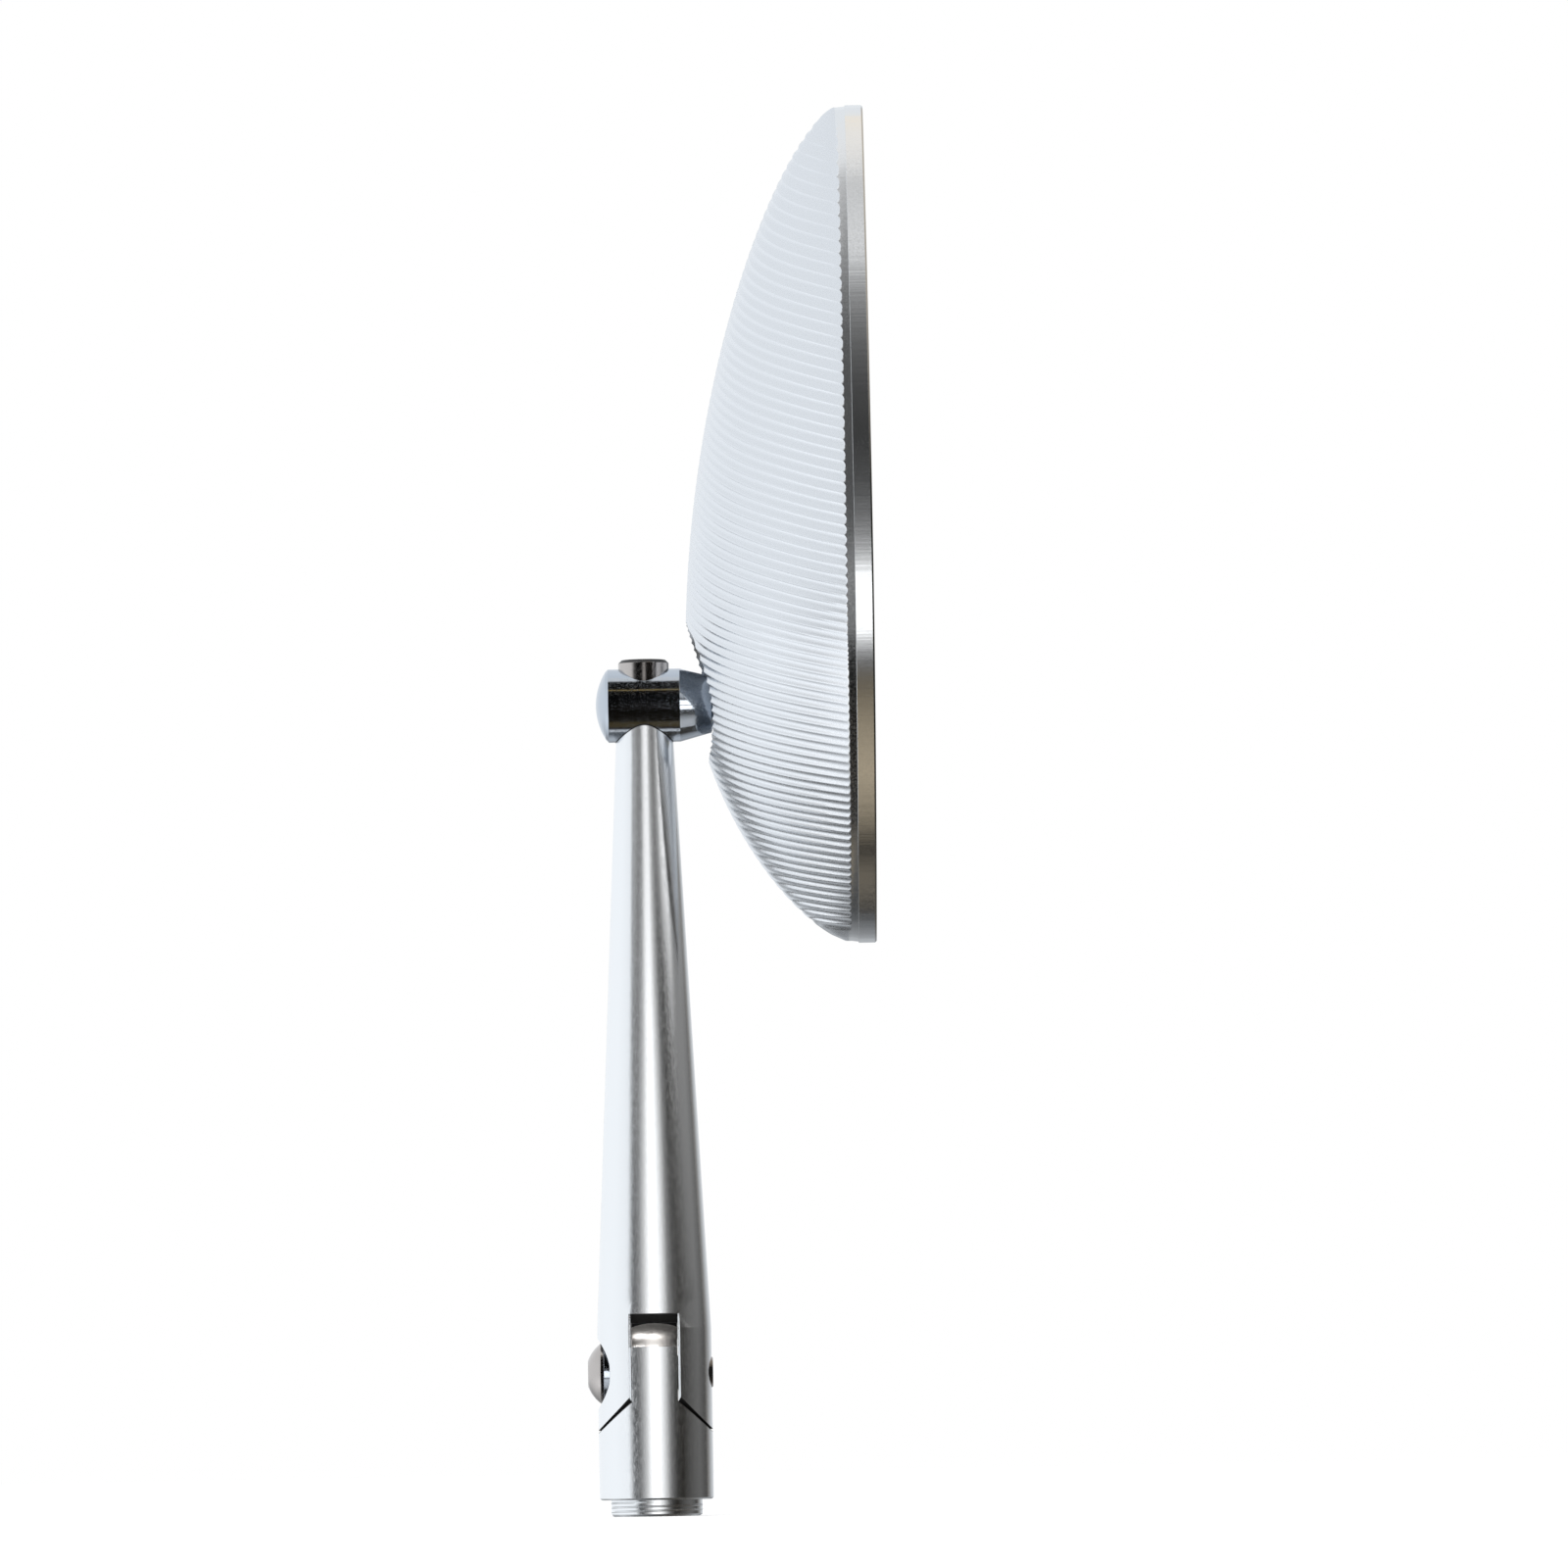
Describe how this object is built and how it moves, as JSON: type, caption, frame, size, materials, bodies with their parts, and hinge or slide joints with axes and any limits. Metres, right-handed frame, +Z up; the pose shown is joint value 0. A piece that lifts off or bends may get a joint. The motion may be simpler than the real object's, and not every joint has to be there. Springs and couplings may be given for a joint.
{
  "type": "motorcycle mirror",
  "caption": "Motorcycle rear-view mirror: pointed oval billet head with a ribbed back on a ball joint, slim tapered stem and a pivoting round base.",
  "frame": {"origin": "centre of the base's mounting shoulder, on the stem's axis", "axes": "+Z up along the stem, +X from the stem towards the glass, Y across the head"},
  "size_m": [0.0519, 0.07, 0.2477],
  "materials": {
    "bright_aluminium": "fine turned, bright",
    "ribbed_aluminium": "milled, bright",
    "steel": "plain bright",
    "black_steel": "blackened",
    "chrome": "polished",
    "nylon": "matte",
    "foam": "matte",
    "mirror": "silvered"
  },
  "bodies": {
    "base": {"base": "bright_aluminium"},
    "arm": {"stem": "bright_aluminium", "pivot_screw": "steel", "pivot_washer": "steel", "ball_stud": "chrome", "knuckle_screw": "steel"},
    "front_liner": {"front_cup": "nylon"},
    "rear_liner": {"rear_cup": "nylon"},
    "head": {"shell": "ribbed_aluminium", "socket_cap": "bright_aluminium", "cap_screws": "black_steel", "glass_pad": "foam", "mirror_glass": "mirror"}
  },
  "joints": [
    {"name": "stem_pivot", "type": "hinge", "parent": "base", "child": "arm", "pos_m": [0, 0, 0.0222], "axis": [1, 0, 0], "range_deg": [-40, 40]},
    {"name": "head_tilt", "type": "hinge", "parent": "arm", "child": "front_liner", "pos_m": [0.022, 0, 0.1394], "axis": [0, 1, 0], "range_deg": [-13, 13]},
    {"name": "head_pan", "type": "hinge", "parent": "front_liner", "child": "rear_liner", "pos_m": [0.022, 0, 0.1394], "axis": [0, 0, 1], "range_deg": [-13, 13]},
    {"name": "head_spin", "type": "hinge", "parent": "rear_liner", "child": "head", "pos_m": [0.022, 0, 0.1394], "axis": [1, 0, 0], "range_deg": [-45, 45]}
  ]
}
